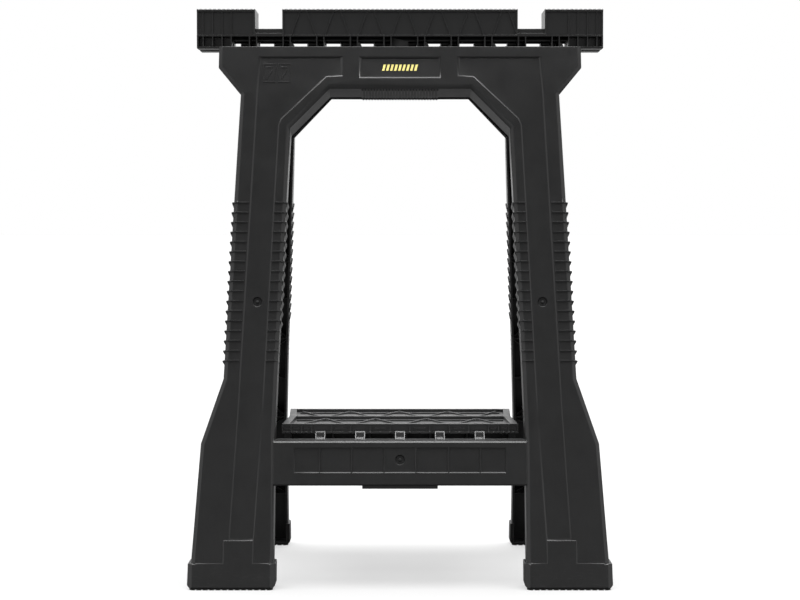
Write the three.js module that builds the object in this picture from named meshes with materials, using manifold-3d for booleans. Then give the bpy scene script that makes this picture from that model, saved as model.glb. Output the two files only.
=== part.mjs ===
// Folding sawhorse. Two identical moulded frames are pinned together under a beam that splits
// along the fold plane, and a two-leaf shelf between the legs folds upwards as they close.
// Millimetres, +X along the beam, -Y the front, +Z up, origin on the floor under the beam's middle.
import * as THREE from "three";
import { mergeVertices } from "three/addons/utils/BufferGeometryUtils.js";
import Module from "manifold-3d";

const wasm = await Module();
wasm.setup();

// Stance
const footReach = 214.8; // fold plane to a leg's outer face, at the floor
const legSlope = 0.2198; // inward run of that face for each millimetre of height
const bendHeight = 689; // the rail above this leans further in
const railSlope = 0.3;
const wall = 3;
const gap = 0.3; // between pieces that touch
const boreSides = 8; // facets round the pins and rods, and round the holes that they turn in
const tall = 900; // taller than the object, for trimming

// Beam
const topHeight = 810;
const beamHalfLength = 292.5;
const beamHalfDepth = 37.5;
const topPlate = 4.3;
const flangeBottom = 770;
const flangeTop = 772.6;
const cellFloor = 755.5;
const notchInner = 169.5; // a timber slot runs from here to notchOuter on each side
const notchOuter = 208.5;
const notchFloor = 782;
const webFace = 34; // fold plane to the front of the recessed web
const webThickness = 2.5;
const ribThickness = 2;
const skirtBack = 19; // fold plane to the skirt that hangs behind the flange
const skirtBottom = 764.4;
const beamFloor = 753; // underside of the overhanging ends
const endBack = 9; // fold plane to the back of those ends
const floorInner = 258; // where that floor begins, inside the frame's shoulder
const endRibs = [243, 256, 269.8, 283.4];

// Main hinge
const pivotHeight = 762;
const stationPitch = 48.4;
const stationCount = 10;
const knuckleHalf = 6.15;
const knuckleRadius = 7.2;
const pinRadius = 2;

// Legs and feet
const padThickness = 2.3;
const footBottom = padThickness + gap;
const legDepth = 39;
const railDepth = 30;
const edgeWidth = 5.2; // bevelled edge of the outer face, across the face
const edgeDepth = 3; // and into it
const windowDraft = 0.3; // fall of the window's top wall for each millimetre inwards
const windowHalf = 163; // the window's walls, and nothing else, lie inside these three
const windowLow = 628;
const windowHigh = 708;
const panelSink = 1.3; // depth of the sunk panels in the outer face
const bootTop = 35.5;
const bootTabTop = 66;
const bootProud = 1.2;
const bootDepth = 41;
const bootInner = 171;
const bootOuter = 292;
const bootCorner = 7;
const firstLegRib = 82;
const legRibPitch = 61;
const legRibsEnd = 640;
const ribFront = 2; // the inner ribs start inside the wall
const legRibDepth = 32;
const railRibDepth = 27;

// Crossbar
const crossbarBottom = 139.5;
const crossbarTop = 200;
const crossbarFace = 1;
const crossbarHalf = 177;
const crossbarInner = 166; // half width of its hollow
const lipHalf = 52.3; // the lip that hangs under its middle
const lipBottom = 135;
const cellEdges = [-147, -111, -67, -22, 22, 67, 111, 147]; // middles of the bars between its cells
const cellBar = 2.4;
const cellBottom = 159;
const cellTop = 190;
const shelfPivotReach = 138;
const shelfPivotHeight = 194;
const armCentres = [-112, -56, 0, 56, 112];
const armHalf = 7;
const rodRadius = 2.5;

// Shelf
const shelfBottom = 205;
const shelfTop = 219;
const shelfFront = 116;
const shelfFrontHalf = 166.7; // half width beside the frame
const shelfMidHalf = 162; // half width at the middle hinge
const shelfFlange = 208; // top of the flange below the front cells
const trayFloor = 214.5;
const trayUnder = 211.5; // underside of that floor, between the rims and ribs
const frontRim = 6;
const midRim = 3;
const sideRim = 10;
const frontCells = [14, 42, 70, 97, 125, 139, 154, 166.7]; // middles of the bars between them
const cellDepth = 4.5;
const trayRibs = [-126, -84, -42, 0, 42, 84, 126];
const midHingeHeight = 203.5;
const midStations = [-140, -70, 0, 70, 140];
const midRadius = 3.2;
const midRodRadius = 1.2;

const black = 0x2c2c2c;
const darkRubber = 0x1b1b1b;
const zinc = 0x9a9c9e;

// ---- solids and helpers

function solid(geometry) {
  const bare = geometry.clone();
  bare.deleteAttribute("normal");
  bare.deleteAttribute("uv");
  const merged = mergeVertices(bare, 1e-4);
  return new wasm.Manifold(
    new wasm.Mesh({
      numProp: 3,
      vertProperties: merged.attributes.position.array,
      triVerts: new Uint32Array(merged.index.array),
    }),
  );
}

function geometryOf(body) {
  const mesh = body.getMesh();
  const geometry = new THREE.BufferGeometry();
  const points = new Float32Array(mesh.vertProperties);
  geometry.setAttribute("position", new THREE.BufferAttribute(points, 3));
  geometry.setIndex(new THREE.BufferAttribute(new Uint32Array(mesh.triVerts), 1));
  return geometry;
}

function join(bodies) {
  return bodies.reduce((whole, next) => whole.add(next));
}

function box(x0, x1, y0, y1, z0, z1) {
  const block = new THREE.BoxGeometry(x1 - x0, y1 - y0, z1 - z0);
  return solid(block.translate((x0 + x1) / 2, (y0 + y1) / 2, (z0 + z1) / 2));
}

function shapeOf(points) {
  return new THREE.Shape(points.map(([a, b]) => new THREE.Vector2(a, b)));
}

// An outline in X and Z, made solid from y0 to y1. With a chamfer, its edge at y0 is cut back.
function upright(points, y0, y1, chamfer = 0, width = chamfer, reshape = null) {
  const body = new THREE.ExtrudeGeometry(shapeOf(points), {
    depth: y1 - y0,
    bevelEnabled: chamfer > 0,
    bevelThickness: chamfer,
    bevelSize: width,
    bevelOffset: -width,
    bevelSegments: 1,
  });
  body.rotateX(Math.PI / 2).translate(0, y1 + chamfer, 0);
  if (reshape) {
    reshape(body.attributes.position);
  }
  const whole = solid(body);
  return chamfer > 0 ? whole.subtract(box(-tall, tall, y1, tall, -tall, tall * 2)) : whole;
}

// Lets the window's top wall fall towards the inside, square to the leaning rail.
function draftWindow(position) {
  for (let i = 0; i < position.count; i++) {
    const z = position.getZ(i);
    if (Math.abs(position.getX(i)) < windowHalf && z > windowLow && z < windowHigh) {
      position.setZ(i, z - windowDraft * Math.max(position.getY(i), 0));
    }
  }
}

// An outline in Y and Z, made solid from x0 to x1.
function sideways(points, x0, x1) {
  const body = new THREE.ExtrudeGeometry(shapeOf(points), { depth: x1 - x0, bevelEnabled: false });
  const across = new THREE.Matrix4().makeBasis(
    new THREE.Vector3(0, 1, 0),
    new THREE.Vector3(0, 0, 1),
    new THREE.Vector3(1, 0, 0),
  );
  return solid(body.applyMatrix4(across).translate(x0, 0, 0));
}

// An outline in X and Y, made solid from z0 to z1.
function level(points, z0, z1) {
  const body = new THREE.ExtrudeGeometry(shapeOf(points), { depth: z1 - z0, bevelEnabled: false });
  return solid(body.translate(0, 0, z0));
}

// A round bar along X.
function round(radius, x0, x1, y, z, sides = 12) {
  const bar = new THREE.CylinderGeometry(radius, radius, x1 - x0, sides);
  return solid(bar.rotateZ(Math.PI / 2).translate((x0 + x1) / 2, y, z));
}

// A straight rib in X and Z between two points, made solid from y0 to y1.
function rib(from, to, thickness, y0, y1) {
  const along = new THREE.Vector2(to[0] - from[0], to[1] - from[1]).normalize();
  const side = [(-along.y * thickness) / 2, (along.x * thickness) / 2];
  const corners = [
    [from[0] - side[0], from[1] - side[1]],
    [to[0] - side[0], to[1] - side[1]],
    [to[0] + side[0], to[1] + side[1]],
    [from[0] + side[0], from[1] + side[1]],
  ];
  return upright(corners, y0, y1);
}

function mirrored(points) {
  return points.map(([x, z]) => [-x, z]).reverse();
}

// Moves every side of an anticlockwise outline inwards by the same distance.
function inset(points, distance) {
  const lines = points.map(([x, z], i) => {
    const [nextX, nextZ] = points[(i + 1) % points.length];
    const length = Math.hypot(nextX - x, nextZ - z);
    const across = [-(nextZ - z) / length, (nextX - x) / length];
    return { at: [x + across[0] * distance, z + across[1] * distance], way: [nextX - x, nextZ - z] };
  });
  return lines.map((line, i) => {
    const last = lines[(i + lines.length - 1) % lines.length];
    const turn = last.way[0] * line.way[1] - last.way[1] * line.way[0];
    const apart = [line.at[0] - last.at[0], line.at[1] - last.at[1]];
    const step = (apart[0] * line.way[1] - apart[1] * line.way[0]) / turn;
    return [last.at[0] + last.way[0] * step, last.at[1] + last.way[1] * step];
  });
}

// Distance from the fold plane to the frame's outer face at a height.
function faceReach(z) {
  const straight = footReach - legSlope * Math.min(z, bendHeight);
  return straight - railSlope * Math.max(z - bendHeight, 0);
}

// Takes a body drawn with its outer face at y = 0 and stands it against the leaning face.
function lean(body) {
  const below = body.intersect(box(-tall, tall, -tall, tall, -tall, bendHeight));
  const above = body.intersect(box(-tall, tall, -tall, tall, bendHeight, tall));
  const parts = [below, above].filter((part) => !part.isEmpty());
  return join(
    parts.map((part) => {
      const geometry = geometryOf(part);
      const position = geometry.attributes.position;
      for (let i = 0; i < position.count; i++) {
        position.setY(i, position.getY(i) - faceReach(position.getZ(i)));
      }
      return solid(geometry);
    }),
  );
}

// ---- outlines of the frame, right-hand side, from the floor upwards

const legOuter = [
  [286.8, footBottom],
  [286.8, bootTop],
  [276.1, 196.5],
  [246.1, 285],
  [227.6, 685],
  [260, 724],
];
const legInner = [
  [174, footBottom],
  [174, 200],
  [170.3, 310],
  [159.3, 563],
  [156.5, 638],
  [100.6, 695],
];

// The whole frame seen from the front: rail above, two legs, an open arch between them.
function arch(top) {
  const outer = [...legOuter, [260, top]];
  return [...outer, ...mirrored(outer), ...mirrored(legInner).reverse(), ...[...legInner].reverse()];
}

// The sunk panel that runs along the rail, round the shoulder and down the leg.
const sunkPanel = [
  [233, bootTabTop],
  [224, 230],
  [208, 563],
  [204.4, 642],
  [200, 739],
  [85, 739],
  [85, 714],
  [106, 713],
  [170, 652],
  [174.4, 642],
  [178, 563],
  [193, 230],
  [203, bootTabTop],
];
const badgeHalf = 56;
const badgeBottom = 711.7;
const badgeTop = 738.4;

// ---- the frame

function shell() {
  const skin = upright(arch(tall), 0, legDepth, edgeDepth, edgeWidth, draftWindow);
  const hollow = upright(inset(arch(cellFloor), wall), wall, legDepth * 2, 0, 0, draftWindow);
  const shallowRail = [
    [legDepth + 0.5, 692],
    [legDepth * 2, 692],
    [legDepth * 2, tall],
    [railDepth, tall],
    [railDepth, 706],
  ];
  return {
    skin: skin
      .subtract(box(-tall, tall, -tall, tall, cellFloor, tall * 2))
      .subtract(sideways(shallowRail, -tall, tall)),
    hollow,
  };
}

function boot(side) {
  const sole = [
    [bootInner + 3.5, footBottom],
    [bootOuter - 3.5, footBottom],
    [bootOuter, footBottom + 3.5],
    [bootOuter - 0.7, bootTop],
    [bootInner, bootTop],
    [bootInner, footBottom + 3.5],
  ];
  const plan = [
    [bootInner + bootCorner, -bootProud],
    [bootOuter - bootCorner, -bootProud],
    [bootOuter, bootCorner - 3],
    [bootOuter, bootDepth],
    [bootInner, bootDepth],
    [bootInner, bootCorner - 3],
  ];
  const tab = [
    [202.5, bootTop - 1],
    [242, bootTop - 1],
    [242, bootTabTop],
    [202.5, bootTabTop],
  ];
  const place = (points) => (side > 0 ? points : mirrored(points));
  const block = upright(place(sole), -bootProud, bootDepth, bootProud);
  const rounded = level(side > 0 ? plan : mirrored(plan), 0, bootTop + 1);
  return block.intersect(rounded).add(upright(place(tab), -bootProud, wall));
}

// Level ribs inside the legs, and upright ribs inside the rail.
function stiffeners() {
  const ribs = [];
  for (let z = firstLegRib; z < legRibsEnd; z += legRibPitch) {
    ribs.push(rib([-300, z], [-140, z], ribThickness, ribFront, legRibDepth));
    ribs.push(rib([140, z], [300, z], ribThickness, ribFront, legRibDepth));
  }
  for (let i = 0; i < stationCount; i++) {
    const x = stationX(i);
    ribs.push(rib([x, bendHeight], [x, cellFloor], ribThickness, ribFront, railRibDepth));
  }
  return join(ribs).intersect(upright(inset(arch(cellFloor), 1), 0.5, legDepth, 0, 0, draftWindow));
}

function crossbar() {
  const half = crossbarHalf;
  const outer = upright(rectangle(-half, half, crossbarBottom, crossbarTop), crossbarFace, legDepth, 2);
  const lip = upright(rectangle(-lipHalf, lipHalf, lipBottom, crossbarBottom + 1), crossbarFace + 4, 30);
  const hollow = upright(
    rectangle(-crossbarInner, crossbarInner, crossbarBottom + wall, crossbarTop - wall),
    crossbarFace + wall,
    legDepth * 2,
  );
  const rodRibs = armCentres.flatMap((x) =>
    [-1, 1].map((side) => {
      const inner = x + side * (armHalf + 1.2);
      const span = [inner, inner + side * 2.5].sort((a, b) => a - b);
      return upright(rectangle(span[0], span[1], crossbarBottom + 1, crossbarTop - 1), 2, legDepth - 1);
    }),
  );
  const cells = cellEdges.slice(0, -1).map((x, i) => {
    const outline = rectangle(x + cellBar / 2, cellEdges[i + 1] - cellBar / 2, cellBottom, cellTop);
    return upright(outline, -1, crossbarFace + panelSink);
  });
  return outer.add(lip).subtract(hollow).add(join(rodRibs)).subtract(join(cells));
}

function rectangle(x0, x1, z0, z1) {
  return [
    [x0, z0],
    [x1, z0],
    [x1, z1],
    [x0, z1],
  ];
}

function stationX(index) {
  return (index - (stationCount - 1) / 2) * stationPitch;
}

// One run of the beam between x0 and x1: top plate, recessed web, end walls and inner ribs.
function beamBlock(x0, x1) {
  const low = flangeBottom + 1;
  const back = -gap / 2;
  const parts = [
    box(x0, x1, -beamHalfDepth, back, topHeight - topPlate, topHeight),
    box(x0, x1, -webFace, -webFace + webThickness, low, topHeight - 1),
    box(x0, x0 + webThickness, -beamHalfDepth + 1, back, low, topHeight - 1),
    box(x1 - webThickness, x1, -beamHalfDepth + 1, back, low, topHeight - 1),
  ];
  for (let i = 0; i < stationCount; i++) {
    const x = stationX(i);
    if (x > x0 + 5 && x < x1 - 5) {
      parts.push(box(x - 1, x + 1, -webFace + 1, back, low, topHeight - 1));
    }
  }
  return join(parts);
}

// Floor of a timber slot, with a low kerb along the front flange.
function notch(side) {
  const x0 = side > 0 ? notchInner - 1 : -notchOuter - 1;
  const x1 = side > 0 ? notchOuter + 1 : -notchInner + 1;
  const floorFront = -beamHalfDepth + 6;
  return join([
    box(x0, x1, floorFront, -gap / 2, notchFloor - wall, notchFloor),
    box(x0, x1, floorFront, floorFront + webThickness, flangeBottom + 1, notchFloor - 1),
    box(x0, x1, -beamHalfDepth, -beamHalfDepth + 2, flangeBottom + 1, 775),
  ]);
}

// Open cells under the flange, the skirt behind them, and the closed overhanging ends.
function cells() {
  const low = cellFloor - 1;
  const high = flangeBottom + 1;
  const skirtFront = -skirtBack - ribThickness;
  const parts = [
    box(1 - beamHalfLength, beamHalfLength - 1, skirtFront, -skirtBack, skirtBottom, high),
    box(-knuckleHalf * 2, knuckleHalf * 2, skirtFront, -skirtBack, low, skirtBottom + 1),
  ];
  for (const side of [-1, 1]) {
    const between = (a, b) => [side * a, side * b].sort((left, right) => left - right);
    for (const x of endRibs) {
      parts.push(box(side * x - 1, side * x + 1, -beamHalfDepth, -endBack, low, high));
    }
    const floor = between(floorInner, beamHalfLength);
    parts.push(box(...floor, -beamHalfDepth, -endBack, beamFloor, beamFloor + wall));
    const cap = between(beamHalfLength - webThickness, beamHalfLength);
    parts.push(box(...cap, -beamHalfDepth, -endBack, beamFloor, high));
    const back = between(endRibs[0], beamHalfLength - 1);
    parts.push(box(...back, skirtFront, -skirtBack, low, skirtBottom + 1));
  }
  return join(parts);
}

function knuckles() {
  const parts = [];
  for (let i = 0; i < stationCount; i++) {
    const x0 = stationX(i) + gap / 2;
    const x1 = x0 + 2 * knuckleHalf;
    parts.push(box(x0, x0 + ribThickness, -beamHalfDepth, -1, cellFloor - 1, flangeBottom + 1));
    parts.push(box(x1 - ribThickness, x1, -beamHalfDepth, -1, cellFloor - 1, flangeBottom + 1));
    parts.push(round(knuckleRadius, x0, x1, 0, pivotHeight));
  }
  return join(parts);
}

function frameSolid() {
  const { skin, hollow } = shell();
  const faceCuts = join([
    upright(sunkPanel, -5, panelSink),
    upright(mirrored(sunkPanel), -5, panelSink),
    upright(rectangle(-badgeHalf, badgeHalf, badgeBottom, badgeTop), -5, panelSink),
  ]);
  const legs = skin.subtract(faceCuts).add(boot(1)).add(boot(-1)).subtract(hollow);
  const standing = lean(legs.add(stiffeners()).add(crossbar()));
  const beam = join([
    beamBlock(-notchInner, notchInner),
    beamBlock(notchOuter, beamHalfLength),
    beamBlock(-beamHalfLength, -notchOuter),
    box(-beamHalfLength, beamHalfLength, -beamHalfDepth, -gap / 2, flangeBottom, flangeTop),
    notch(1),
    notch(-1),
    cells(),
    knuckles(),
  ]);
  const slots = armCentres.map((x) =>
    box(x - armHalf - 0.5, x + armHalf + 0.5, -146, -120, crossbarTop - wall - 0.5, crossbarTop + 1),
  );
  return standing
    .add(beam)
    .subtract(round(pinRadius + gap, -tall, tall, 0, pivotHeight, boreSides))
    .subtract(round(rodRadius + gap, -150, 150, -shelfPivotReach, shelfPivotHeight, boreSides))
    .subtract(join(slots));
}

// ---- the shelf

// One leaf: a shallow tray, open cells along its front edge, knuckles under its middle edge.
function shelfLeaf() {
  const plan = (front, mid, sides) => [
    [-(shelfFrontHalf - sides), front - shelfFront],
    [shelfFrontHalf - sides, front - shelfFront],
    [shelfMidHalf - sides, -mid - gap / 2],
    [-(shelfMidHalf - sides), -mid - gap / 2],
  ];
  const tray = level(plan(0, 0, 0), shelfBottom, shelfTop);
  const inside = plan(frontRim, midRim, sideRim);
  const hollow = level(inside, trayFloor, shelfTop + 1);
  const ribs = trayRibs.map((x) =>
    box(x - ribThickness / 2, x + ribThickness / 2, -shelfFront, -1, shelfBottom - 1, trayUnder),
  );
  const underside = level(inside, shelfBottom - 1, trayUnder).subtract(join(ribs));
  const cellCuts = frontCells.slice(0, -1).flatMap((x, i) => {
    const near = x + 1;
    const far = frontCells[i + 1] - 1;
    return [cell(near, far), cell(-far, -near)];
  });
  cellCuts.push(cell(1 - frontCells[0], frontCells[0] - 1));
  const midKnuckles = midStations.map((x) => {
    const x0 = x + gap / 2;
    const root = box(x0, x0 + 12, -9, -2, midHingeHeight - 1.3, shelfBottom + 1);
    return round(midRadius, x0, x0 + 12, 0, midHingeHeight).add(root);
  });
  const reliefs = midStations.map((x) =>
    round(midRadius + 0.6, x - 12.5, x + gap / 2, 0, midHingeHeight),
  );
  return tray
    .subtract(hollow)
    .subtract(underside)
    .subtract(join(cellCuts))
    .subtract(join(reliefs))
    .add(join(midKnuckles))
    .subtract(round(midRodRadius + gap, -tall, tall, 0, midHingeHeight, boreSides));
}

function cell(x0, x1) {
  return box(x0, x1, -shelfFront - 1, cellDepth - shelfFront, shelfFlange, shelfTop - 1.6);
}

// Five arms reach down into the crossbar's slots and turn on its rod.
function frontShelfSolid() {
  const side = [
    [-111, 205.5],
    [-111, 209],
    [-122, 209],
    [-141.5, 197.5],
    [-135, 190.2],
    [-119, 203],
  ];
  const arms = armCentres.map((x) => {
    const head = round(5, x - armHalf, x + armHalf, -shelfPivotReach, shelfPivotHeight);
    return sideways(side.slice().reverse(), x - armHalf, x + armHalf).add(head);
  });
  const bore = round(rodRadius + gap, -tall, tall, -shelfPivotReach, shelfPivotHeight, boreSides);
  return shelfLeaf().add(join(arms)).subtract(bore);
}

// The back leaf's arms stop just above the crossbar, where the closed linkage is left open.
function backShelfSolid() {
  const side = [
    [-111, 205.5],
    [-111, 209],
    [-122, 209],
    [-133.5, 202.2],
    [-133.5, 200.6],
    [-125, 200.6],
    [-119, 203.5],
  ];
  const arms = armCentres.map((x) => sideways(side.slice().reverse(), x - armHalf, x + armHalf));
  return shelfLeaf().add(join(arms));
}

// ---- small pieces

function hingePin() {
  const half = 2 * knuckleHalf + gap / 2 + 0.4;
  const shank = round(pinRadius, -half - 1, half + 1, 0, 0, boreSides);
  const heads = [-1, 1].map((side) => {
    const ends = [side * half, side * (half + 1.4)].sort((a, b) => a - b);
    return round(3.4, ends[0], ends[1], 0, 0, boreSides);
  });
  return shank.add(join(heads));
}

function rod(radius, halfLength) {
  return round(radius, -halfLength, halfLength, 0, 0, boreSides);
}

// A ring on the back rod that holds the place of an arm's end in its slot.
function shelfRing() {
  const outer = round(4.6, -armHalf + 0.2, armHalf - 0.2, 0, 0);
  return outer.subtract(round(rodRadius + gap, -tall, tall, 0, 0, boreSides));
}

function footPad() {
  return box(-57, 57, -19, 19, 0, padThickness);
}

// ---- assembly

const sawhorse = new THREE.Group();

function piece(name, body, color, roughness, metalness = 0) {
  const geometry = geometryOf(body).toNonIndexed();
  geometry.computeVertexNormals();
  const material = new THREE.MeshStandardMaterial({ color, roughness, metalness });
  const mesh = new THREE.Mesh(geometry, material);
  mesh.name = name;
  return mesh;
}

const frontSide = new THREE.Group();
const backSide = new THREE.Group();
backSide.rotation.z = Math.PI;
sawhorse.add(frontSide, backSide);

const frame = frameSolid();
frontSide.add(piece("front_frame", frame, black, 0.62));
backSide.add(piece("back_frame", frame, black, 0.62));
frontSide.add(piece("front_shelf", frontShelfSolid(), black, 0.62));
backSide.add(piece("back_shelf", backShelfSolid(), black, 0.62));

for (let i = 0; i < stationCount; i++) {
  const pin = piece("hinge_pin_" + (i + 1), hingePin(), zinc, 0.35, 1);
  pin.position.set(stationX(i), 0, pivotHeight);
  sawhorse.add(pin);
}

for (const [name, group] of [["front", frontSide], ["back", backSide]]) {
  const shelfRod = piece(name + "_shelf_rod", rod(rodRadius, 128), zinc, 0.35, 1);
  shelfRod.position.set(0, -shelfPivotReach, shelfPivotHeight);
  group.add(shelfRod);
  for (const [hand, side] of [["left", -1], ["right", 1]]) {
    const pad = piece(name + "_foot_pad_" + hand, footPad(), darkRubber, 0.9);
    pad.position.set((side * (bootInner + bootOuter)) / 2, -footReach + 20.5, 0);
    group.add(pad);
  }
}

const midRod = piece("shelf_mid_rod", rod(midRodRadius, 156), zinc, 0.35, 1);
midRod.position.set(0, 0, midHingeHeight);
sawhorse.add(midRod);

armCentres.forEach((x, i) => {
  const ring = piece("back_shelf_ring_" + (i + 1), shelfRing(), black, 0.62);
  ring.position.set(x, -shelfPivotReach, shelfPivotHeight);
  backSide.add(ring);
});

export default sawhorse;
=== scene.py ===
import math

import bmesh
import bpy
from mathutils import Matrix, Vector


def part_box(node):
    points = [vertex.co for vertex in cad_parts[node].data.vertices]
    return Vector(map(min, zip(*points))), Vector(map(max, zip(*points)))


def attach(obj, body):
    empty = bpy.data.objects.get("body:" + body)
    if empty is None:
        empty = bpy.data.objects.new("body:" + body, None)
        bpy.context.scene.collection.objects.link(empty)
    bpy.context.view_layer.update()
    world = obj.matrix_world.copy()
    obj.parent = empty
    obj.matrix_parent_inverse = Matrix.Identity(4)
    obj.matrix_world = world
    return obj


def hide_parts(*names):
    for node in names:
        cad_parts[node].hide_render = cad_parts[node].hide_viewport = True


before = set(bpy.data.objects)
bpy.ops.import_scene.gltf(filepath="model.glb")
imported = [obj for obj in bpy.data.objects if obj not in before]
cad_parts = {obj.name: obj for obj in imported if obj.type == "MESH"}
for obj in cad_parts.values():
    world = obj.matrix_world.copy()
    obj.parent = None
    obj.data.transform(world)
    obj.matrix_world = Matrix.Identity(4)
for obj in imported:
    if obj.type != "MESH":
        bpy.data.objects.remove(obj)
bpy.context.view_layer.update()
print("frame loaded")

mm = 0.001
halfTurn = Matrix.Rotation(math.pi, 4, "Z")  # the back frame is the front one turned round


# Camera and light

shot = dict(distance=3.0, height=0.5063, pitch=2.235, lens=92.25, sensor=36.0)
studio = dict(
    backdrop=1.0, sky=1.5,
    frontScreen=dict(rise=38.0, stops=((0.80, 1.0), (0.90, 0.25), (0.97, 0.06))),
    backScreen=dict(rise=42.0, stops=((0.84, 1.0), (0.93, 0.2), (0.99, 0.08))),
    sunRise=98.0, sunSpread=60.0, sunPower=9.5,
    floorHalf=60.0, floorTone=0.13, floorGlow=0.6, bounceTone=0.11,
)


def link(piece):
    bpy.context.scene.collection.objects.link(piece)
    return piece


def makeCamera():
    data = bpy.data.cameras.new("shotCamera")
    data.lens = shot["lens"]
    data.sensor_width = shot["sensor"]
    data.dof.use_dof = False
    camera = link(bpy.data.objects.new("shotCamera", data))
    camera.location = (0, -shot["distance"], shot["height"])
    camera.rotation_euler = (math.radians(90 - shot["pitch"]), 0, 0)
    bpy.context.scene.camera = camera


def makeSun():  # a wide soft sun above and in front
    data = bpy.data.lights.new("softSun", "SUN")
    data.energy = studio["sunPower"]
    data.angle = math.radians(studio["sunSpread"])
    lamp = link(bpy.data.objects.new("softSun", data))
    lamp.rotation_euler = (math.radians(90 - studio["sunRise"]), 0, 0)


# Node trees

class Wire:  # an output socket that can be used in sums
    def __init__(self, sheet, socket):
        self.sheet = sheet
        self.socket = socket

    def other(self, name):
        return Wire(self.sheet, self.socket.node.outputs[name])

    def work(self, operation, *parts):
        return self.sheet.add("ShaderNodeMath", {"operation": operation}, dict(enumerate(parts)))

    def __add__(self, other):
        return self.work("ADD", self, other)

    def __radd__(self, other):
        return self.work("ADD", other, self)

    def __sub__(self, other):
        return self.work("SUBTRACT", self, other)

    def __rsub__(self, other):
        return self.work("SUBTRACT", other, self)

    def __mul__(self, other):
        return self.work("MULTIPLY", self, other)

    def __rmul__(self, other):
        return self.work("MULTIPLY", other, self)

    def __truediv__(self, other):
        return self.work("DIVIDE", self, other)

    def __rtruediv__(self, other):
        return self.work("DIVIDE", other, self)

    def __pow__(self, other):
        return self.work("POWER", self, other)

    def clamped(self):
        return self.work("MINIMUM", self.work("MAXIMUM", self, 0.0), 1.0)


class Sheet:  # one node tree and the method that adds its nodes
    def __init__(self, tree):
        self.tree = tree
        tree.nodes.clear()

    def add(self, kind, settings=None, values=None, out=0):
        node = self.tree.nodes.new(kind)
        for name, value in (settings or {}).items():
            if name == "stops":
                elements = node.color_ramp.elements
                elements.remove(elements[1])
                elements[0].position = value[0][0]
                elements[0].color = grey(value[0][1])
                for place, tone in value[1:]:
                    elements.new(place).color = grey(tone)
            else:
                setattr(node, name, value)
        for key, value in (values or {}).items():
            if isinstance(value, Wire):
                self.tree.links.new(value.socket, node.inputs[key])
            else:
                node.inputs[key].default_value = value
        return Wire(self, node.outputs[out]) if node.outputs else node

    def mixed(self, factor, first, second):  # two colours
        settings = {"data_type": "RGBA", "clamp_factor": True}
        return self.add("ShaderNodeMix", settings, {0: factor, 6: first, 7: second}, 2)


def grey(tone):
    return (tone, tone, tone, 1)


def noise(sheet, place, grain, detail=2.0, roughness=0.5):  # grain in millimetres
    values = {"Vector": place, "Scale": 1 / (grain * mm), "Detail": detail, "Roughness": roughness}
    return sheet.add("ShaderNodeTexNoise", {"noise_dimensions": "3D"}, values, "Fac")


def startMaterial(name):
    material = bpy.data.materials.new(name)
    material.use_nodes = True
    sheet = Sheet(material.node_tree)
    return material, sheet, sheet.add("ShaderNodeTexCoord", out="Object")


def finishMaterial(sheet, shader):
    sheet.add("ShaderNodeOutputMaterial", None, {"Surface": shader})


wear = dict(scuffTop=0.06, scuffTone=0.02, scuffRough=0.15, dustTone=0.012, dustRough=0.12)
mouldedBlack = dict(tone=0.0075, mottle=0.003, roughness=0.4, specular=0.36, grain=0.55, lift=0.035)
# the tray's black is really glossier than the frames' black; its lighter base tone is painted sheen, standing
# in for the light its floor catches
trayBlack = dict(tone=0.018, mottle=0.004, roughness=0.36, specular=0.5, grain=0.7, lift=0.025)


def plasticMaterial(name, look):
    material, sheet, place = startMaterial(name)
    grain = noise(sheet, place, look["grain"], 3.0, 0.62)
    pits = noise(sheet, place, look["grain"] * 3.2, 1.0)
    cloud = noise(sheet, place, 26, 3.0, 0.6)
    drawn = sheet.add("ShaderNodeMapping", None, {"Vector": place, "Scale": (9.0, 9.0, 0.6)})
    streak = noise(sheet, drawn, 30, 3.0, 0.6)  # flow lines that run up the moulding
    height = sheet.add("ShaderNodeSeparateXYZ", None, {0: place}, "Z")
    scuffed = (1 - height / wear["scuffTop"]).clamped()  # the lowest 60 mm meet boots and floors
    drag = sheet.add("ShaderNodeMapping", None, {"Vector": place, "Scale": (0.7, 1.0, 7.0)})
    scuff = ((noise(sheet, drag, 7, 4.0, 0.7) - 0.56) * 5).clamped() * scuffed
    upward = sheet.add("ShaderNodeTexCoord", out="Normal")
    tilt = sheet.add("ShaderNodeSeparateXYZ", None, {0: upward}, "Z")
    dust = ((tilt - 0.55) * 2).clamped() * (noise(sheet, place, 9, 4.0, 0.65) * 1.6 - 0.4).clamped()
    tone = look["tone"] + (cloud - 0.5) * look["mottle"] + (streak - 0.5) * look["mottle"]
    tone = tone + dust * wear["dustTone"] + scuff * wear["scuffTone"]
    base = sheet.add("ShaderNodeCombineColor", None, {0: tone, 1: tone, 2: tone * 1.02})
    rough = look["roughness"] + (cloud - 0.5) * 0.12 + (pits - 0.5) * 0.1
    rough = rough + scuff * wear["scuffRough"] + dust * wear["dustRough"]
    relief = grain * 0.7 + pits * 0.3
    raised = {"Strength": 0.55, "Distance": look["lift"] * mm, "Height": relief}
    bump = sheet.add("ShaderNodeBump", None, raised)
    finishMaterial(sheet, sheet.add("ShaderNodeBsdfPrincipled", None, {
        "Base Color": base, "Roughness": rough.clamped(), "Normal": bump,
        "Specular IOR Level": look["specular"],
    }))
    return material


zincPlate = dict(light=(0.62, 0.62, 0.66, 1), dark=0.4, roughness=0.3, spangle=1.4)


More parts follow.
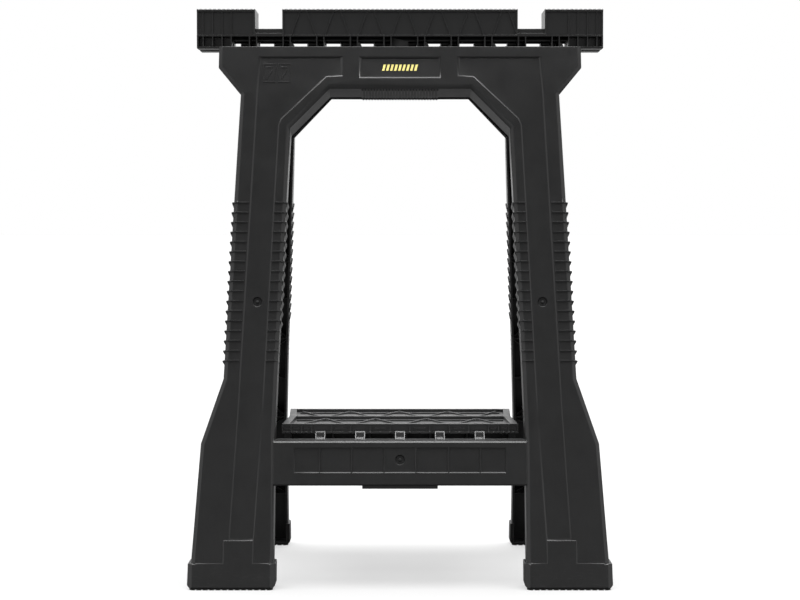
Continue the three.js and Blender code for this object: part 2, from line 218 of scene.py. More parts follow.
def zincMaterial(look=zincPlate):
    material, sheet, place = startMaterial("zincPlate")
    cells = {"Vector": place, "Scale": 1 / (look["spangle"] * mm)}
    spangle = sheet.add("ShaderNodeTexVoronoi", {"feature": "F1"}, cells, "Color")
    shade = sheet.add("ShaderNodeSeparateColor", None, {0: spangle})
    drawn = sheet.add("ShaderNodeMapping", None, {"Vector": place, "Scale": (0.05, 1.0, 1.0)})
    line = noise(sheet, drawn, 0.18, 3.0, 0.6)  # drawing marks run along the wire
    base = sheet.mixed(shade * 0.5 + line * 0.5, grey(look["dark"]), look["light"])
    rough = look["roughness"] + (line - 0.5) * 0.2 + shade * 0.12
    bump = sheet.add("ShaderNodeBump", None, {"Strength": 0.35, "Distance": 0.02 * mm, "Height": line})
    finishMaterial(sheet, sheet.add("ShaderNodeBsdfPrincipled", None, {
        "Base Color": base, "Roughness": rough, "Metallic": 1.0, "Normal": bump,
    }))
    return material


soleRubber = dict(tone=0.011, roughness=0.82, grain=0.9)


def rubberMaterial(look=soleRubber):
    material, sheet, place = startMaterial("soleRubber")
    grain = noise(sheet, place, look["grain"], 4.0, 0.7)
    bloom = noise(sheet, place, 18, 4.0, 0.65)  # grey bloom of moulded rubber
    tone = look["tone"] + bloom * 0.008 + (grain - 0.5) * 0.006
    base = sheet.add("ShaderNodeCombineColor", None, {0: tone, 1: tone, 2: tone})
    rough = look["roughness"] + (bloom - 0.5) * 0.2
    bump = sheet.add("ShaderNodeBump", None, {"Strength": 0.6, "Distance": 0.06 * mm, "Height": grain})
    finishMaterial(sheet, sheet.add("ShaderNodeBsdfPrincipled", None, {
        "Base Color": base, "Roughness": rough.clamped(), "Specular IOR Level": 0.3, "Normal": bump,
    }))
    return material


printYellow = dict(light=(0.86, 0.74, 0.24, 1), worn=(0.62, 0.5, 0.13, 1), roughness=0.38)


def printMaterial(look=printYellow):
    material, sheet, place = startMaterial("printYellow")
    speckle = noise(sheet, place, 0.9, 4.0, 0.7)
    patch = noise(sheet, place, 6, 2.0)
    worn = ((speckle * 0.6 + patch * 0.4 - 0.5) * 5).clamped()
    base = sheet.mixed(worn * 0.6, look["light"], look["worn"])
    rough = look["roughness"] + worn * 0.25
    bump = sheet.add("ShaderNodeBump", None, {"Strength": 0.3, "Distance": 0.03 * mm, "Height": speckle})
    finishMaterial(sheet, sheet.add("ShaderNodeBsdfPrincipled", None, {
        "Base Color": base, "Roughness": rough, "Normal": bump, "Specular IOR Level": 0.5,
    }))
    return material


def makeStudio():
    world = bpy.data.worlds.new("studio")
    bpy.context.scene.world = world
    world.use_nodes = True
    sheet = Sheet(world.node_tree)
    direction = sheet.add("ShaderNodeTexCoord", out="Generated")
    aim = sheet.add("ShaderNodeSeparateXYZ", None, {0: direction}, "Y")
    tones = []
    screens = ((studio["frontScreen"], -1), (studio["backScreen"], 1))  # dark, in a white room
    for screen, side in screens:
        rise = math.radians(screen["rise"])
        toScreen = aim * (side * math.cos(rise)) + aim.other("Z") * math.sin(rise)
        ramp = {"stops": screen["stops"]}
        tones.append(sheet.add("ShaderNodeValToRGB", ramp, {"Fac": toScreen}, "Color"))
    light = sheet.add("ShaderNodeBackground", None, {"Color": tones[0] * tones[1], "Strength": studio["sky"]})
    backdrop = sheet.add("ShaderNodeBackground", None, {"Color": grey(1.0), "Strength": studio["backdrop"]})
    seen = sheet.add("ShaderNodeLightPath", out="Is Camera Ray")
    sky = sheet.add("ShaderNodeMixShader", None, {0: seen, 1: light, 2: backdrop})
    sheet.add("ShaderNodeOutputWorld", None, {"Surface": sky})
    bpy.context.scene.view_settings.view_transform = "Standard"
    makeSun()
    half = studio["floorHalf"]
    data = bpy.data.meshes.new("floor")
    corners = [(-half, -half, 0), (half, -half, 0), (half, half, 0), (-half, half, 0)]
    data.from_pydata(corners, [], [(0, 1, 2, 3)])
    material, sheet, place = startMaterial("floorPaper")
    fibre = noise(sheet, place, 4, 3.0)
    tone = studio["floorTone"] + (fibre - 0.5) * 0.01
    base = sheet.add("ShaderNodeCombineColor", None, {0: tone, 1: tone, 2: tone})
    pale = sheet.add("ShaderNodeBsdfPrincipled", None, {
        "Base Color": base, "Roughness": 0.9, "Specular IOR Level": 0.1,
        "Emission Color": grey(1.0), "Emission Strength": studio["floorGlow"],
    })
    dim = sheet.add("ShaderNodeBsdfDiffuse", None, {"Color": grey(studio["bounceTone"])})
    seen = sheet.add("ShaderNodeLightPath", out="Is Camera Ray")  # throws little light back up
    finishMaterial(sheet, sheet.add("ShaderNodeMixShader", None, {0: seen, 1: dim, 2: pale}))
    data.materials.append(material)
    link(bpy.data.objects.new("floor", data))


# Mesh tools, in millimetres

def meshOf(bm, name="part"):
    bmesh.ops.recalc_face_normals(bm, faces=bm.faces)
    mesh = bpy.data.meshes.new(name)
    bm.to_mesh(mesh)
    bm.free()
    return mesh


def addSkin(bm, first, second):  # two end faces and the sides between two rings
    bm.faces.new(first)
    bm.faces.new(second[::-1])
    for i in range(len(first)):
        j = (i + 1) % len(first)
        bm.faces.new((first[i], first[j], second[j], second[i]))


def prism(outline, low, high, axis="y", soft=0.0, sides=2):
    turn = {"x": lambda a, b, c: (c, a, b), "y": lambda a, b, c: (a, c, b), "z": lambda a, b, c: (a, b, c)}
    bm = bmesh.new()
    rings = [[bm.verts.new(Vector(turn[axis](a, b, c)) * mm) for a, b in outline] for c in (low, high)]
    addSkin(bm, *rings)
    if soft:
        bmesh.ops.bevel(bm, geom=bm.edges[:], offset=soft * mm, segments=sides, profile=0.6,
                        affect="EDGES", clamp_overlap=True)
    return meshOf(bm)


def spread(outline, distance):  # moves every side of an anticlockwise outline outwards
    wider = []
    for k, (x, z) in enumerate(outline):
        (x0, z0), (x1, z1) = outline[k - 1], outline[(k + 1) % len(outline)]
        before = Vector((z - z0, x0 - x)).normalized()
        after = Vector((z1 - z, x - x1)).normalized()
        step = (before + after) * distance / (1 + before.dot(after))
        wider.append((x + step.x, z + step.y))
    return wider


def loft(first, y0, second, y1):  # a solid between two outlines of as many points
    bm = bmesh.new()
    ends = ((first, y0), (second, y1))
    rings = [[bm.verts.new(Vector((x, y, z)) * mm) for x, z in outline] for outline, y in ends]
    addSkin(bm, *rings)
    return meshOf(bm)


def block(x0, x1, y0, y1, z0, z1, soft=0.0):
    return prism([(x0, z0), (x1, z0), (x1, z1), (x0, z1)], y0, y1, "y", soft)


def turned(profile, sides, closed=False):  # radius and place along X; open profiles end on the axis
    bm = bmesh.new()
    rings = []
    for radius, along in profile:
        if radius:
            angles = [2 * math.pi * k / sides for k in range(sides)]
            rings.append([bm.verts.new(Vector((along, radius * math.cos(a), radius * math.sin(a))) * mm)
                          for a in angles])
        else:
            rings.append([bm.verts.new(Vector((along, 0, 0)) * mm)])
    pairs = list(zip(rings, rings[1:]))
    if closed:
        pairs.append((rings[-1], rings[0]))
    for first, second in pairs:
        for k in range(sides):
            n = (k + 1) % sides
            corners = [first[k % len(first)], first[n % len(first)]]
            corners += [second[n % len(second)], second[k % len(second)]]
            bm.faces.new(list(dict.fromkeys(corners)))  # a ring on the axis is one point
    return meshOf(bm)


def moved(mesh, matrix):
    copy = mesh.copy()
    copy.transform(matrix)
    if matrix.determinant() < 0:
        copy.flip_normals()
    return copy


def shifted(mesh, x=0.0, y=0.0, z=0.0):
    return moved(mesh, Matrix.Translation(Vector((x, y, z)) * mm))


def mirrored(mesh):
    return moved(mesh, Matrix.Scale(-1, 4, (1, 0, 0)))


def gathered(meshes, name="tool"):  # several closed meshes that don't touch, as one
    bm = bmesh.new()
    for mesh in meshes:
        bm.from_mesh(mesh)
    joined = bpy.data.meshes.new(name)
    bm.to_mesh(joined)
    bm.free()
    return joined


def reshaped(mesh, rule):  # rule takes and gives a point in millimetres
    copy = mesh.copy()
    for vertex in copy.vertices:
        vertex.co = Vector(rule(*(vertex.co / mm))) * mm
    return copy


def plain(piece, name):  # modifiers applied, as a mesh
    bpy.context.view_layer.update()
    graph = bpy.context.evaluated_depsgraph_get()
    mesh = bpy.data.meshes.new_from_object(piece.evaluated_get(graph))
    mesh.name = name
    return mesh


def drop(piece):
    bpy.data.objects.remove(piece)


def makeRowTree():
    tree = bpy.data.node_groups.new("rowOfPieces", "GeometryNodeTree")
    wanted = dict(Piece="Object", Start="Vector", Step="Vector", Count="Int", Finish="Material")
    names = {}
    for name, kind in wanted.items():
        socket = tree.interface.new_socket(name, in_out="INPUT", socket_type="NodeSocket" + kind)
        names[name] = socket.identifier
    tree.interface.new_socket("Geometry", in_out="OUTPUT", socket_type="NodeSocketGeometry")
    sheet = Sheet(tree)
    given = sheet.add("NodeGroupInput", out="Piece")
    space = {"transform_space": "ORIGINAL"}
    shape = sheet.add("GeometryNodeObjectInfo", space, {"Object": given}, "Geometry")
    line = sheet.add("GeometryNodeMeshLine", {"mode": "OFFSET"}, {
        "Count": given.other("Count"), "Start Location": given.other("Start"), "Offset": given.other("Step"),
    })
    copies = sheet.add("GeometryNodeInstanceOnPoints", None, {"Points": line, "Instance": shape})
    solid = sheet.add("GeometryNodeRealizeInstances", None, {"Geometry": copies})
    coating = {"Geometry": solid, "Material": given.other("Finish")}
    coated = sheet.add("GeometryNodeSetMaterial", None, coating)
    sheet.add("NodeGroupOutput", None, {0: coated})
    return tree, names


def row(mesh, count, step, start=(0, 0, 0)):  # copies of a mesh along a line
    sample = link(bpy.data.objects.new("sample", mesh))
    holder = link(bpy.data.objects.new("row", bpy.data.meshes.new("row")))
    modifier = holder.modifiers.new("row", "NODES")
    modifier.node_group = rowTree
    given = {"Piece": sample, "Count": count, "Finish": finishes["black_plastic"],
             "Start": [v * mm for v in start], "Step": [v * mm for v in step]}
    for name, value in given.items():
        modifier[rowSockets[name]] = value
    made = plain(holder, "row")
    drop(holder)
    drop(sample)
    return made


def combine(piece, mesh, operation):
    tool = link(bpy.data.objects.new("tool", mesh))
    modifier = piece.modifiers.new("tool", "BOOLEAN")
    modifier.operation = operation
    modifier.solver = "MANIFOLD"
    modifier.object = tool
    made = plain(piece, piece.name)
    piece.modifiers.clear()
    piece.data = made
    drop(tool)


def fuse(piece, *meshes):
    for mesh in meshes:
        combine(piece, mesh, "UNION")


def carve(piece, *meshes):
    for mesh in meshes:
        combine(piece, mesh, "DIFFERENCE")


def tidied(piece, angle=0.4):  # flat areas become single faces
    bm = bmesh.new()
    bm.from_mesh(piece.data)
    bmesh.ops.remove_doubles(bm, verts=bm.verts, dist=0.002 * mm)
    bmesh.ops.dissolve_limit(bm, angle_limit=math.radians(angle), verts=bm.verts, edges=bm.edges,
                             delimit=set())
    bm.to_mesh(piece.data)
    bm.free()


def fromCad(node, name):  # a merged copy of a CAD node, to work on
    piece = link(bpy.data.objects.new(name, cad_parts[node].data.copy()))
    piece.data.name = name
    piece.data.materials.clear()
    bm = bmesh.new()
    bm.from_mesh(piece.data)
    bmesh.ops.remove_doubles(bm, verts=bm.verts, dist=0.002 * mm)
    bm.to_mesh(piece.data)
    bm.free()
    for name in [layer.name for layer in piece.data.uv_layers]:
        piece.data.uv_layers.remove(piece.data.uv_layers[name])
    return piece


def soften(piece, width, sharpest=28):  # rounds the outer edges as far as each one has room
    tidied(piece)
    bm = bmesh.new()
    bm.from_mesh(piece.data)
    bmesh.ops.connect_verts_concave(bm, faces=bm.faces)
    weight = bm.edges.layers.float.get("bevel_weight_edge") or bm.edges.layers.float.new("bevel_weight_edge")
    for edge in bm.edges:
        outer = edge.is_manifold and edge.calc_face_angle_signed(0) > math.radians(sharpest)
        room = 0.36 * min(near.calc_length() for corner in edge.verts for near in corner.link_edges) / mm
        edge[weight] = min(room / width, 1.0) if outer and room > 0.06 else 0.0
    bm.to_mesh(piece.data)
    bm.free()
    bevel = piece.modifiers.new("edges", "BEVEL")
    bevel.width = width * mm
    bevel.segments = 2
    bevel.limit_method = "WEIGHT"
    bevel.use_clamp_overlap = False
    shade(piece)


def shade(piece, angle=32):
    made = plain(piece, piece.name)
    piece.modifiers.clear()
    piece.data = made
    made.shade_smooth()
    made.set_sharp_from_angle(angle=math.radians(angle))
    even = piece.modifiers.new("even", "WEIGHTED_NORMAL")
    even.keep_sharp = True
    even.weight = 60
    made = plain(piece, piece.name)
    piece.modifiers.clear()
    piece.data = made


def dress(piece, slot, body, *nodes):
    piece.data.materials.clear()
    piece.data.materials.append(finishes[slot])
    for face in piece.data.polygons:
        face.material_index = 0
    if nodes:
        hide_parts(*nodes)
    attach(piece, body)
    return piece


def newPiece(name, mesh):
    mesh.name = name
    return link(bpy.data.objects.new(name, mesh))


# The frame's stance, the same for every detail that lies on its leaning face

stance = dict(reach=214.8, slope=0.2198, bend=689.0, railSlope=0.3, sunk=1.8)
lean = math.atan(stance["slope"])
leanTurn = Matrix.Rotation(-lean, 4, "X")  # square to the legs' outer face


def faceReach(z):  # fold plane to the outer face
    straight = stance["reach"] - stance["slope"] * min(z, stance["bend"])
    return straight - stance["railSlope"] * max(z - stance["bend"], 0)


def leaned(mesh):  # drawn with the outer face at y = 0
    bm = bmesh.new()
    bm.from_mesh(mesh)
    everything = bm.verts[:] + bm.edges[:] + bm.faces[:]
    bend = (0, 0, stance["bend"] * mm)
    bmesh.ops.bisect_plane(bm, geom=everything, dist=1e-7, plane_co=bend, plane_no=(0, 0, 1))
    return reshaped(meshOf(bm), lambda x, y, z: (x, y - faceReach(z), z))


beam = dict(
    pitch=48.4, stations=10, knuckle=12.45, web=34.0, top=810.0, flange=772.6, plate=805.7, floor=755.5,
    lipCut=1.5, ribProud=2.4, ribWidth=1.8, ribRun=12.4, toothPitch=6.55, toothDepth=1.0, toothWidth=3.0,
    blockEdges=(208.5, 292.5), centreHalf=169.5, endRibs=(243.0, 256.0, 269.8, 283.4), depth=37.5,
)


def stationX(index):
    return (index - (beam["stations"] - 1) / 2) * beam["pitch"]


def trussRibs():  # slanting ribs on the middle web, upright ones on the end blocks
    low, high = beam["flange"] - 0.6, beam["plate"] + 0.6
    front, back = -beam["web"] - beam["ribProud"], -beam["web"] + 1
    run, width = beam["ribRun"], beam["ribWidth"]
    rising = prism([(0, low), (width, low), (run + width, high), (run, high)], front, back, "y", 0.35)
    upright = block(-width / 2, width / 2, front, back, low, high, 0.35)
    step = (beam["pitch"], 0, 0)
    first = stationX(1)
    ribs = [
        row(rising, 7, step, (first + beam["knuckle"] - 0.3, 0, 0)),
        row(mirrored(rising), 7, step, (first + beam["pitch"] + 0.4, 0, 0)),
    ]
    for x in beam["endRibs"]:
        ribs += [shifted(upright, x), shifted(upright, -x)]
    return gathered(ribs)


def plateChamfer():  # along the upper front edge of the beam
    cut, depth, top = beam["lipCut"], beam["depth"], beam["top"]
    corner = [(-depth - 1, top - cut - 1), (-depth + cut + 1, top + 1), (-depth - 1, top + 1)]
    return prism(corner, -300, 300, "x")


undercut = dict(inset=4.0, low=1.9, deep=1.3, recessDrop=1.5, recessDeep=0.7)
panelTop = (86, 199)
badgeHalf = 55


def undercuts():  # narrow grooves under the beam's plate and along the tops of the recesses
    web, plate, deep = beam["web"], beam["plate"], panel["deep"]
    inner, outer = beam["blockEdges"]
    centre, inset = beam["centreHalf"], undercut["inset"]
    made = []
    for left, right in ((-outer, -inner), (-centre, centre), (inner, outer)):
        front, back, low = -web - 1, -web + undercut["deep"], plate - undercut["low"]
        made.append(block(left + inset, right - inset, front, back, low, plate))
    near, far = panelTop
    side, middle = panel["top"], badgeOutline[2][1]
    tops = [(-far, -near, side), (-badgeHalf, badgeHalf, middle), (near, far, side)]
    for x0, x1, z in tops:
        back, low = deep + undercut["recessDeep"], z - undercut["recessDrop"]
        made.append(leaned(block(x0, x1, deep - 1, back, low, z + 0.3)))
    return gathered(made)


def teethGrooves():  # shallow flutes across the top of the beam
    half, deep = beam["toothWidth"] / 2, beam["toothDepth"]
    top = beam["top"]
    section = [(-half, top + 1), (-half, top), (-half * 0.45, top - deep), (half * 0.45, top - deep),
               (half, top), (half, top + 1)]
    flute = prism(section, -beam["depth"] - 2, 1.0, "y")
    inner, outer = beam["blockEdges"]
    step = (beam["toothPitch"], 0, 0)
    endCount = int((outer - inner) / beam["toothPitch"]) + 1
    midCount = int(2 * beam["centreHalf"] / beam["toothPitch"]) + 1
    midStart = -(midCount - 1) / 2 * beam["toothPitch"]
    endStart = (inner + outer) / 2 - (endCount - 1) / 2 * beam["toothPitch"]
    return gathered([
        row(flute, endCount, step, (endStart, 0, 0)),
        row(flute, endCount, step, (-endStart - (endCount - 1) * beam["toothPitch"], 0, 0)),
        row(flute, midCount, step, (midStart, 0, 0)),
    ])


def stopLugs():  # low ramps in every other gap between the knuckles
    low = beam["floor"] - 0.8
    outline = [(0, low), (5.6, low), (4.6, low + 3.4), (2.6, low + 6.6), (0, low + 6.6)]
    ramp = prism(outline, -36, -20, "y", 0.3)
    return row(ramp, 5, (2 * beam["pitch"], 0, 0), (stationX(1) + beam["knuckle"] - 0.15, 0, 0))


grips = dict(
    top=531.0, pitch=13.8, count=17, nubs=13, thick=1.8, proud=1.3, sideProud=3.0, nubProud=1.9,
    outerRun=21.0, innerRun=17.0, wrap=33.0, bevelWidth=5.2, bevelDepth=3.0, wedge=6.0,
)
outerEdge = dict(z=285.0, x=246.1, rate=-0.04625)
innerEdge = dict(z=310.0, x=170.3, rate=-0.04348)


def edgeX(edge, z):
    return edge["x"] + edge["rate"] * (z - edge["z"])


def gripSection(run, sideProud):  # bends round the leg's bevelled corner, which is at 0
    proud, wide, deep = grips["proud"], grips["bevelWidth"], grips["bevelDepth"]
    return [
        (-sideProud, grips["wrap"]), (-sideProud, deep + 0.6), (wide - 2.2, -proud), (run, -proud),
        (run, 1.0), (wide + 1, 1.0), (1.0, deep + 1.4), (1.0, grips["wrap"]),
    ]


def gripRows(edge, run, sideProud, inwards, first, count):
    half = grips["thick"] / 2
    bar = prism(gripSection(run, sideProud), -half, half, "z", 0.3)
    fall = -grips["wedge"]
    under = [(-sideProud, half), (1.0, half), (1.0, fall), (0.0, fall), (-sideProud, -half)]
    wedge = prism(under, grips["bevelDepth"] + 1.5, grips["wrap"] - 1, "y")
    z = grips["top"] - first * grips["pitch"]
    step = (edge["rate"] * -grips["pitch"], -stance["slope"] * grips["pitch"], -grips["pitch"])
    start = (edgeX(edge, z), -faceReach(z), z)
    made = []
    for shape in (bar, wedge) if sideProud > 0.5 else (bar,):
        facing = moved(shape if inwards else mirrored(shape), leanTurn)
        right = row(facing, count, step, start)
        made.append(gathered([right, mirrored(right)]))
    return made


def gripTools():  # for the outer and the inner corner of both legs
    nubs, rest = grips["nubs"], grips["count"] - grips["nubs"]
    rows = [
        gripRows(outerEdge, grips["outerRun"], grips["sideProud"], False, 0, grips["count"]),
        gripRows(innerEdge, grips["innerRun"], grips["nubProud"], True, 0, nubs),
        gripRows(innerEdge, grips["innerRun"], 0.3, True, nubs, rest),
    ]
    return [mesh for pair in rows for mesh in pair]


window = dict(top=695.0, fall=0.3, depth=39.0, gripPitch=4.3, gripCount=26, gripRadius=1.6)


def fingerGrip():  # flutes under the top of the window
    def wall(depth):
        z = window["top"] - window["fall"] * depth
        return Vector((0, depth - faceReach(z), z))

    near, far = wall(7), wall(window["depth"] - 0.8)
    length = (far - near).length
    r = window["gripRadius"]
    bar = turned([(0, 0), (r * 0.7, 0), (r, 0.6), (r, length - 0.6), (r * 0.7, length), (0, length)], 10)
    turn = (far - near).to_track_quat("X", "Z").to_matrix().to_4x4()
    placed = moved(bar, Matrix.Translation(near * mm) @ turn)
    half = (window["gripCount"] - 1) / 2 * window["gripPitch"]
    return row(placed, window["gripCount"], (window["gripPitch"], 0, 0), (-half, 0, 0))


gate = dict(x=200.0, z=392.0, barZ=175.0, radius=6.7, bossRadius=9.0)


def gatePlaces():  # two legs and the crossbar, with the depth of each surface
    return [(-gate["x"], gate["z"], 0.0), (gate["x"], gate["z"], 0.0), (0.0, gate["barZ"], 1.0)]


def gateShape(profile, x, z, deep):
    dish = turned(profile, 28)
    place = Matrix.Translation(Vector((x, deep - faceReach(z), z)) * mm)
    return moved(dish, place @ leanTurn @ Matrix.Rotation(math.pi / 2, 4, "Z"))


def gateBosses():
    r = gate["bossRadius"]
    boss = [(0, 2.2), (r, 2.2), (r, 5.4), (r - 0.8, 6.0), (0, 6.0)]
    return gathered([gateShape(boss, *place) for place in gatePlaces()])


def gateDishes():  # a round dish with a low nub left in its middle
    r = gate["radius"]
    dish = [(0, -3), (r + 1.9, -3), (r + 1.9, -0.1), (r + 0.2, 1.5), (r - 0.3, 3.4), (r - 1.0, 4.2),
            (2.4, 4.2), (1.9, 2.7), (1.2, 2.1), (0, 2.0)]
    return gathered([gateShape(dish, *place) for place in gatePlaces()])


brace = dict(low=83, pitch=61, rise=59, bays=9, thick=1.8, front=1.9, back=27)


def legBraces():  # a zigzag of ribs in the hollow of each leg
    braces = []
    half = brace["thick"] / 2
    for bay in range(brace["bays"]):
        z = brace["low"] + brace["pitch"] * bay
        top = z + brace["rise"]
        ends = [(insideAt(z) + 1, z), (outsideAt(top) - 1, top)]
        if bay % 2:
            ends = [(outsideAt(z) - 1, z), (insideAt(top) + 1, top)]
        (x0, z0), (x1, z1) = ends
        outline = [(x0 - half, z0), (x0 + half, z0), (x1 + half, z1), (x1 - half, z1)]
        right = leaned(prism(outline, brace["front"], brace["back"], "y"))
        braces += [right, mirrored(right)]
    return gathered(braces)


def between(points, z):  # distance from the middle along an edge drawn as points
    for (x0, z0), (x1, z1) in zip(points, points[1:]):
        if z0 <= z <= z1:
            return x0 + (x1 - x0) * (z - z0) / (z1 - z0)
    return points[-1][0]


def outsideAt(z):
    return between([(286.8, 0), (286.8, 35.5), (276.1, 196.5), (246.1, 285), (227.6, 685)], z)


def insideAt(z):
    return between([(174, 0), (174, 200), (170.3, 310), (159.3, 563), (156.5, 638)], z)


marks = dict(low=703.0, high=730.0, lefts=(-196.0, -174.9), width=18.3, line=1.0, proud=0.55)


def recessMarks():  # two plain outlined boxes, each with a slanting and a level bar, in the left recess
    made = []
    y0, y1 = stance["sunk"] - marks["proud"], stance["sunk"] + 0.6
    t, low, high = marks["line"], marks["low"], marks["high"]
    for left in marks["lefts"]:
        right = left + marks["width"]
        bm = bmesh.new()
        outer = [(left, low), (right, low), (right, high), (left, high)]
        inner = [(left + t, low + t), (right - t, low + t), (right - t, high - t), (left + t, high - t)]
        rings = [[bm.verts.new(Vector((x, y, z)) * mm) for x, z in ring]
                 for y in (y0, y1) for ring in (outer, inner)]
        frontOut, frontIn, backOut, backIn = rings
        for k in range(4):
            n = (k + 1) % 4
            bm.faces.new((frontOut[k], frontOut[n], frontIn[n], frontIn[k]))
            bm.faces.new((backOut[k], backOut[n], backIn[n], backIn[k]))
            bm.faces.new((frontOut[k], frontOut[n], backOut[n], backOut[k]))
            bm.faces.new((frontIn[k], frontIn[n], backIn[n], backIn[k]))
        made.append(meshOf(bm))
        foot, head = low + 5, low + 18
        near, far = left + 4.5, right - 4.5
        made.append(prism([(near, foot), (near + 2, foot), (far, head), (far - 2, head)], y0, y1))
        made.append(block(near, far, y0, y1, high - 5.6, high - 4.2))
    return leaned(gathered(made))


panel = dict(deep=1.8, run=2.4, lead=0.4, low=66.0, top=739.0)
panelOutline = [
    (233, 66), (224, 230), (208, 563), (204.4, 642), (200, 739), (85, 739), (85, 714), (106, 713),
    (170, 652), (174.4, 642), (178, 563), (193, 230), (203, 66),
]
badgeOutline = [(-56, 711.7), (56, 711.7), (56, 738.4), (-56, 738.4)]


def slopedRecesses():  # the panels' walls slope, so that their lower edges catch the light
    deep, lead = panel["deep"], panel["lead"]
    run = panel["run"] * (1 + lead / deep)
    made = []
    for outline in (panelOutline, badgeOutline):
        wide = [(x, max(z, panel["low"])) for x, z in spread(outline, run)]
        shape = leaned(loft(wide, -lead, outline, deep))
        made += [shape, mirrored(shape)] if outline is panelOutline else [shape]
    return made


crossbar = dict(edges=(-147, -111, -67, -22, 22, 67, 111, 147), bar=2.4, low=159.0, high=190.0, face=1.0)


def slopedCells():  # the crossbar's cells, steep at the sides and sloping at top and bottom
    half, face = crossbar["bar"] / 2, crossbar["face"]
    deep, lead = panel["deep"], panel["lead"]
    made = []
    for left, right in zip(crossbar["edges"], crossbar["edges"][1:]):
        x0, x1, z0, z1 = left + half, right - half, crossbar["low"], crossbar["high"]
        wide = [(x0 - 0.5, z0 - 2.6), (x1 + 0.5, z0 - 2.6), (x1 + 0.5, z1 + 1.6), (x0 - 0.5, z1 + 1.6)]
        made.append(leaned(loft(wide, face - lead, [(x0, z0), (x1, z0), (x1, z1), (x0, z1)], face + deep)))
    return gathered(made)


bootLedge = dict(proud=1.2, deep=2.0, run=4.0, inner=176.5, outer=283.0, low=4.0)
bootOutline = [
    (180, 10), (280, 10), (280, 35.5), (242, 35.5), (242, 66), (202.5, 66), (202.5, 35.5), (180, 35.5),
]


def bootSlopes():  # sloping edges from the boot and its tab to the leg
    wide = spread(bootOutline, bootLedge["run"])
    wide = [(min(max(x, bootLedge["inner"]), bootLedge["outer"]), max(z, bootLedge["low"])) for x, z in wide]
    right = leaned(loft(wide, bootLedge["deep"], bootOutline, -bootLedge["proud"]))
    return gathered([right, mirrored(right)])


def makeFrame():
    piece = fromCad("front_frame", "front_frame_moulding")
    carve(piece, plateChamfer(), *slopedRecesses(), slopedCells())
    carve(piece, undercuts())
    fuse(piece, bootSlopes(), trussRibs(), stopLugs(), fingerGrip(), gateBosses(), legBraces(), recessMarks())
    fuse(piece, *gripTools())
    carve(piece, teethGrooves(), gateDishes())
    soften(piece, 0.9)
    print("frame moulding", len(piece.data.polygons), "faces")
    twin = newPiece("back_frame_moulding", moved(piece.data, halfTurn))
    dress(piece, "black_plastic", "front_frame", "front_frame")
    dress(twin, "black_plastic", "back_frame", "back_frame")


badge = dict(count=9, pitch=5.75, width=3.3, slant=2.4, low=720.0, high=729.0, ink=0.14)


def makeBadge():  # plain slanting bars printed in the rail's middle recess
    low, high = badge["low"], badge["high"]
    surface = stance["sunk"]
    width, slant = badge["width"], badge["slant"]
    outline = [(0, low), (width, low), (width + slant, high), (slant, high)]
    bar = prism(outline, surface - badge["ink"], surface + 0.05, "y", 0.06)
    length = (badge["count"] - 1) * badge["pitch"] + width + slant
    bars = leaned(row(bar, badge["count"], (badge["pitch"], 0, 0), (-length / 2, 0, 0)))
    front = newPiece("front_print", bars)
    back = newPiece("back_print", moved(bars, halfTurn))
    dress(front, "yellow_print", "front_frame")
    dress(back, "yellow_print", "back_frame")


tray = dict(
    front=116.0, floor=214.5, bars=(14, 42, 70, 97, 125, 139, 154, 166.7), cellBack=111.5,
    armPitch=56.0, arms=5, armInside=5.4, ribHalf=36.7, ribRise=2.2, ribWidth=2.6,
)


def trayRibs():  # a zigzag that stiffens the tray floor
    half, width = tray["ribHalf"], tray["ribWidth"]
    low, high = tray["floor"] - 1, tray["floor"] + tray["ribRise"]
    near, far = -103.0, -9.0
    slanted = prism([(0, near), (width, near), (half + width, far), (half, far)], low, high, "z", 0.35)
    step = (2 * half, 0, 0)
    rising = row(slanted, 4, step, (-4 * half + 0.2, 0, 0))
    falling = row(mirrored(slanted), 4, step, (-4 * half + 2 * half + width, 0, 0))
    across = [block(-150, 150, y - 0.9, y + 0.9, low, high - 0.4, 0.3) for y in (-80.0, -32.0)]
    return [rising, falling, *across]


def trayCells():  # ledges in the front cells, except where an arm is
    made = []
    bars = tray["bars"]
    front = -tray["front"]
    for near, far in zip(bars, bars[1:]):
        middle = (near + far) / 2
        if 2 < middle % tray["armPitch"] < tray["armPitch"] - 2:
            half = 7.8 if far - near > 20 else 4.4
            back = -tray["cellBack"] + 0.6
            ledge = block(middle - half, middle + half, front + 0.5, back, 211.5, 213.0, 0.25)
            made += [ledge, mirrored(ledge)]
    return gathered(made)


def flangeBumps():  # along the lower flange
    bump = turned([(0, -1.7), (0.9, -1.5), (1.5, -0.8), (1.7, 0.0), (1.5, 0.8), (0.9, 1.5), (0, 1.7)], 10)
    front = -tray["front"]
    places = []
    bars = tray["bars"]
    for near, far in zip(bars, bars[1:]):
        places += [near, (near + far) / 2]
    made = [shifted(bump, side * x, front + 0.7, 206.6) for x in places for side in (-1, 1)]
    return gathered(made)


def armRecess():  # leaves two thin sides along each arm
    side = [(-124, 211), (-150, 211), (-150, 197), (-130, 197), (-124, 201)]
    half = tray["armInside"]
    arm = prism(side, -half, half, "x")
    return row(arm, tray["arms"], (tray["armPitch"], 0, 0), (-2 * tray["armPitch"], 0, 0))


def cornerPockets():  # shallow ones, at the ends of the rim
    pocket = block(144.5, 152.4, -tray["front"] + 4.7, -tray["front"] + 8, 214.9, 217.8)
    return gathered([pocket, mirrored(pocket)])


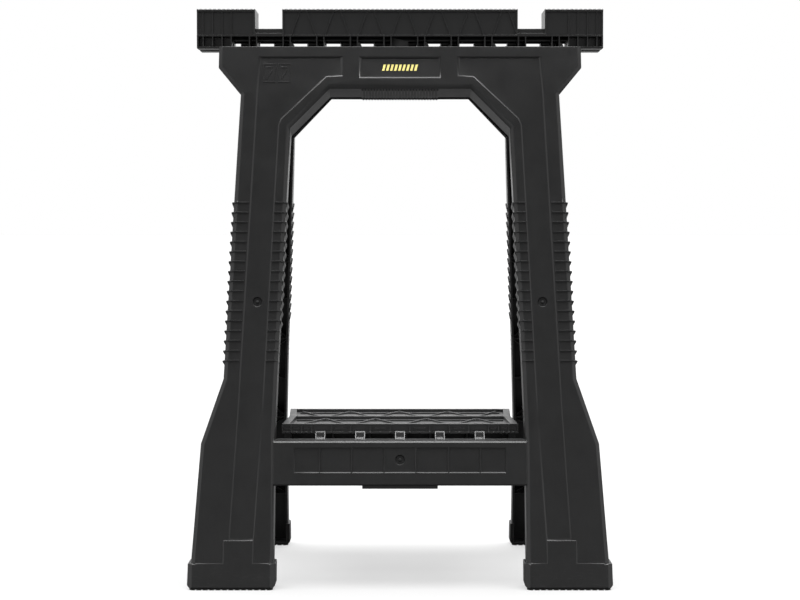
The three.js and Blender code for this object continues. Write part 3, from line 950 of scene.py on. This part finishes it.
def makeShelf():
    for node, turn in (("front_shelf", Matrix()), ("back_shelf", halfTurn)):
        piece = fromCad(node, node + "_moulding")
        piece.data.transform(turn)  # worked on at the front, then turned back
        fuse(piece, *trayRibs(), trayCells(), flangeBumps())
        carve(piece, armRecess(), cornerPockets())
        soften(piece, 0.6)
        piece.data.transform(turn)
        piece.data.update()
        print(node, len(piece.data.polygons), "faces")
        dress(piece, "black_plastic", node, node)
        # the tray's lighter black, whose raised base tone is painted sheen
        piece.data.materials[0] = trayFinishPaintedSheen


pin = dict(shank=2.0, head=3.4, half=12.85, headThick=1.4)
rods = dict(front_shelf_rod=(2.5, 128.0), back_shelf_rod=(2.5, 128.0), shelf_mid_rod=(1.2, 156.0))


def centreOf(node):
    low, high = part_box(node)
    return (low + high) / 2


def makePins():
    r, head, half, end = pin["shank"], pin["head"], pin["half"], pin["half"] + pin["headThick"]
    right = [
        (r, half - 0.1), (head - 0.3, half), (head, half + 0.3), (head, end - 0.7),
        (head - 0.5, end - 0.2), (head * 0.5, end), (0, end),
    ]
    profile = [(radius, -along) for radius, along in right[::-1]] + right
    shape = turned(profile, 20)
    for index in range(1, beam["stations"] + 1):
        node = f"hinge_pin_{index}"
        piece = newPiece(node + "_turned", moved(shape, Matrix.Translation(centreOf(node))))
        shade(piece)
        dress(piece, "zinc_steel", "front_frame", node)


def makeRods():
    homes = dict(front_shelf_rod="front_frame", back_shelf_rod="back_frame", shelf_mid_rod="front_shelf")
    for node, (radius, half) in rods.items():
        end = [(radius, half - 0.8), (radius * 0.72, half - 0.1), (0, half)]
        profile = [(r, -along) for r, along in end[::-1]] + end
        piece = newPiece(node + "_drawn", moved(turned(profile, 24), Matrix.Translation(centreOf(node))))
        shade(piece)
        dress(piece, "zinc_steel", homes[node], node)


def makeRings():
    right = [(4.6, 6.3), (4.2, 6.8), (3.1, 6.8), (2.8, 6.5)]
    profile = [(radius, -along) for radius, along in right[::-1]] + right
    shape = turned(profile, 24, closed=True)
    for index in range(1, tray["arms"] + 1):
        node = f"back_shelf_ring_{index}"
        piece = newPiece(node + "_moulded", moved(shape, Matrix.Translation(centreOf(node))))
        shade(piece)
        dress(piece, "black_plastic", "back_frame", node)


sole = dict(corner=4.0, grooves=12, grooveWidth=2.2, grooveDepth=0.9)


def makeSoles():  # rubber soles with cross grooves underneath
    for side in ("front", "back"):
        for hand in ("left", "right"):
            node = f"{side}_foot_pad_{hand}"
            low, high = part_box(node)
            (x0, y0, z0), (x1, y1, z1) = low / mm, high / mm
            c = sole["corner"]
            outline = [
                (x0 + c, y0), (x1 - c, y0), (x1, y0 + c), (x1, y1 - c),
                (x1 - c, y1), (x0 + c, y1), (x0, y1 - c), (x0, y0 + c),
            ]
            piece = newPiece(node + "_sole", prism(outline, z0, z1, "z"))
            pitch = (x1 - x0) / (sole["grooves"] + 1)
            half = sole["grooveWidth"] / 2
            groove = block(-half, half, y0 - 1, y1 + 1, z0 - 1, z0 + sole["grooveDepth"])
            carve(piece, row(groove, sole["grooves"], (pitch, 0, 0), (x0 + pitch, 0, 0)))
            soften(piece, 0.3)
            dress(piece, "foot_rubber", side + "_frame", node)


makeCamera()
finishes = {
    "black_plastic": plasticMaterial("mouldedBlack", mouldedBlack),
    "zinc_steel": zincMaterial(),
    "foot_rubber": rubberMaterial(),
    "yellow_print": printMaterial(),
}
# the same black plastic for the tray, lighter in tone as painted sheen
trayFinishPaintedSheen = plasticMaterial("trayBlack", trayBlack)
makeStudio()
print("camera, light and materials")
rowTree, rowSockets = makeRowTree()
makeFrame()
makeBadge()
makeShelf()
makePins()
makeRods()
makeRings()
makeSoles()
print("pieces made")
